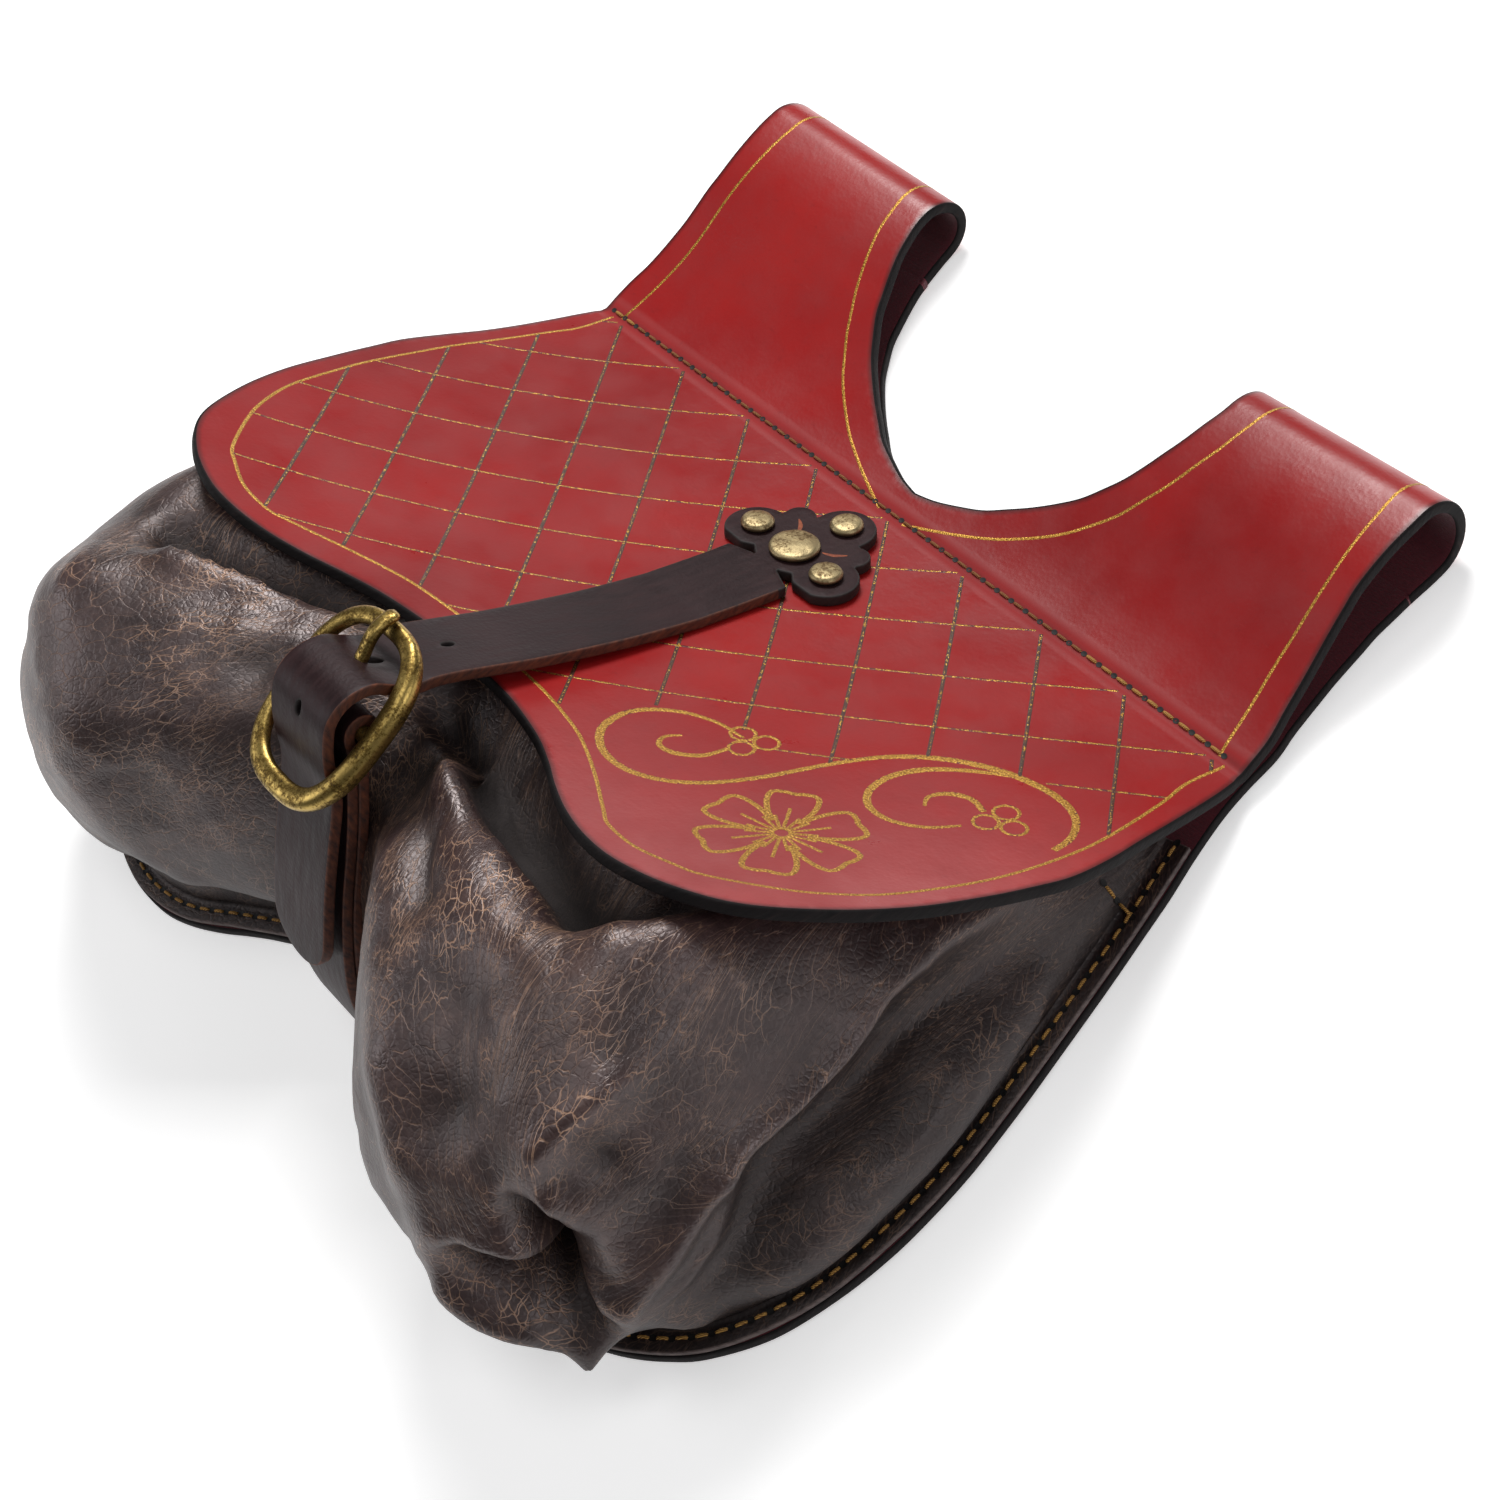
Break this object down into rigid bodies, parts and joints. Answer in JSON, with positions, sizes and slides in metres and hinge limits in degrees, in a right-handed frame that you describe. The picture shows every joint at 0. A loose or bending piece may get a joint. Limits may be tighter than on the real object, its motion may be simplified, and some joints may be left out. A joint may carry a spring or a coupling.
{
  "type": "leather belt bag",
  "caption": "Leather hip bag on belt loops: tooled heart-shaped flap over a soft sewn pouch, closed by a riveted strap and an oval prong buckle.",
  "frame": {"origin": "bottom centre of the whole object's bounding box, on the surface that the bag's back lies on", "axes": "+X across the bag, towards the right belt loop seen from the front; +Y up the bag, towards the belt loops; +Z out of the bag's front"},
  "size_m": [0.304, 0.2876, 0.0994],
  "materials": {
    "tooled_leather": "glossy dyed vegetable-tanned leather with gilt tooled lines and dark burnished edges",
    "pouch_leather": "soft waxed pull-up leather, dark brown with tan crackle and creases",
    "strap_leather": "smooth dark brown strap leather with raw orange-brown edges",
    "thread": "waxed ochre thread",
    "rivet_brass": "antique brass, darkened",
    "buckle_brass": "antique brass with dark speckled patina and worn highlights"
  },
  "bodies": {
    "bag": {"back_panel": "tooled_leather", "front_yoke": "tooled_leather", "loop_left": "tooled_leather", "loop_right": "tooled_leather", "pouch": "pouch_leather", "top_seam_thread": "thread", "pouch_seam_thread": "thread", "buckle_strap": "strap_leather"},
    "flap": {"flap": "tooled_leather", "rivet_cap_center": "rivet_brass", "rivet_cap_left": "rivet_brass", "rivet_cap_right": "rivet_brass", "rivet_cap_top": "rivet_brass", "rivet_back_center": "rivet_brass", "rivet_back_left": "rivet_brass", "rivet_back_right": "rivet_brass", "rivet_back_top": "rivet_brass"},
    "strap": {"closure_strap": "strap_leather"},
    "buckle": {"buckle_frame": "buckle_brass"},
    "prong": {"buckle_prong": "buckle_brass"}
  },
  "joints": [
    {"name": "flap_hinge", "type": "hinge", "parent": "bag", "child": "flap", "pos_m": [0, 0.06327, 0.0065], "axis": [-1, 0, 0], "range_deg": [0, 120]},
    {"name": "strap_lift", "type": "hinge", "parent": "flap", "child": "strap", "pos_m": [0, 0.02622, 0.02628], "axis": [-1, 0, 0], "range_deg": [0, 50], "deforming": ["closure_strap"]},
    {"name": "buckle_swing", "type": "hinge", "parent": "bag", "child": "buckle", "pos_m": [0, -0.07372, 0.088], "axis": [1, 0, 0], "range_deg": [-8, 8]},
    {"name": "prong_pivot", "type": "hinge", "parent": "buckle", "child": "prong", "pos_m": [0, -0.07372, 0.088], "axis": [1, 0, 0], "range_deg": [0, 60]}
  ],
  "couplings": [
    {"joint": "prong_pivot", "follows": "strap_lift", "ratio": 1.2}
  ]
}
